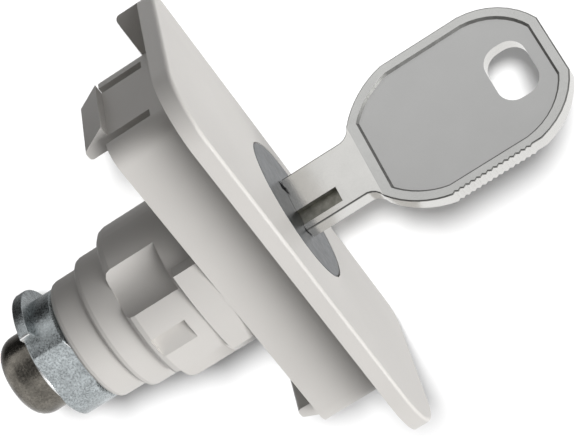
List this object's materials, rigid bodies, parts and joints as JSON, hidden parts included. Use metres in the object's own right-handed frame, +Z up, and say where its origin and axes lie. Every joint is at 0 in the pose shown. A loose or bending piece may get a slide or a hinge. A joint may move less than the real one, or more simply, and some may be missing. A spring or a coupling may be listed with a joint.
{
  "type": "electrical cabinet lock",
  "caption": "Snap-in plastic cabinet lock with an off-centre turning plug, stepped barrel, tail driver with catch flange, domed tail bolt and inserted flat key.",
  "frame": {"origin": "on the lock axis, in the plane of the cover plate's rear face, where the door skin seats", "axes": "+Y along the lock axis towards the tail; the key side faces -Y; +X along the plate's long side; +Z up, towards the plate's wide margin"},
  "size_m": [0.0609, 0.081, 0.0312],
  "materials": {
    "grey_plastic": "fine satin moulding",
    "dark_zinc": "tumbled die casting",
    "galvanised_zinc": "speckled galvanised",
    "spring_steel": "drawn wire",
    "dark_steel": "oiled dark steel",
    "nickel": "satin nickel plate",
    "brass": "stamped"
  },
  "bodies": {
    "housing": {"housing": "grey_plastic"},
    "rotor": {"plug": "dark_zinc", "tail_driver": "galvanised_zinc", "spring_washer": "spring_steel", "tail_bolt": "dark_steel", "wafer_spring_1": "spring_steel", "wafer_spring_2": "spring_steel", "wafer_spring_3": "spring_steel", "wafer_spring_4": "spring_steel", "wafer_spring_5": "spring_steel", "wafer_spring_6": "spring_steel", "wafer_spring_7": "spring_steel"},
    "key": {"key": "nickel"},
    "wafer_1": {"wafer_1": "brass"},
    "wafer_2": {"wafer_2": "brass"},
    "wafer_3": {"wafer_3": "brass"},
    "wafer_4": {"wafer_4": "brass"},
    "wafer_5": {"wafer_5": "brass"},
    "wafer_6": {"wafer_6": "brass"},
    "wafer_7": {"wafer_7": "brass"}
  },
  "joints": [
    {"name": "plug_turn", "type": "hinge", "parent": "housing", "child": "rotor", "pos_m": [0, 0, 0], "axis": [0, 1, 0], "range_deg": [0, 90]},
    {"name": "key_slide", "type": "slide", "parent": "rotor", "child": "key", "axis": [0, -1, 0], "range_m": [0, 0.023]},
    {"name": "wafer_lift_1", "type": "slide", "parent": "rotor", "child": "wafer_1", "axis": [-0.5299, 0, 0.848], "range_m": [0, 0.00121], "deforming": ["wafer_spring_1"]},
    {"name": "wafer_lift_2", "type": "slide", "parent": "rotor", "child": "wafer_2", "axis": [-0.5299, 0, 0.848], "range_m": [0, 0.00121], "deforming": ["wafer_spring_2"]},
    {"name": "wafer_lift_3", "type": "slide", "parent": "rotor", "child": "wafer_3", "axis": [-0.5299, 0, 0.848], "range_m": [0, 0.00121], "deforming": ["wafer_spring_3"]},
    {"name": "wafer_lift_4", "type": "slide", "parent": "rotor", "child": "wafer_4", "axis": [-0.5299, 0, 0.848], "range_m": [0, 0.00121], "deforming": ["wafer_spring_4"]},
    {"name": "wafer_lift_5", "type": "slide", "parent": "rotor", "child": "wafer_5", "axis": [-0.5299, 0, 0.848], "range_m": [0, 0.00121], "deforming": ["wafer_spring_5"]},
    {"name": "wafer_lift_6", "type": "slide", "parent": "rotor", "child": "wafer_6", "axis": [-0.5299, 0, 0.848], "range_m": [0, 0.00121], "deforming": ["wafer_spring_6"]},
    {"name": "wafer_lift_7", "type": "slide", "parent": "rotor", "child": "wafer_7", "axis": [-0.5299, 0, 0.848], "range_m": [0, 0.00121], "deforming": ["wafer_spring_7"]}
  ],
  "couplings": [
    {"joint": "wafer_lift_1", "follows": "key_slide", "ratio": 0.052},
    {"joint": "wafer_lift_2", "follows": "key_slide", "ratio": 0.052},
    {"joint": "wafer_lift_3", "follows": "key_slide", "ratio": 0.052},
    {"joint": "wafer_lift_4", "follows": "key_slide", "ratio": 0.052},
    {"joint": "wafer_lift_5", "follows": "key_slide", "ratio": 0.052},
    {"joint": "wafer_lift_6", "follows": "key_slide", "ratio": 0.052},
    {"joint": "wafer_lift_7", "follows": "key_slide", "ratio": 0.052}
  ]
}
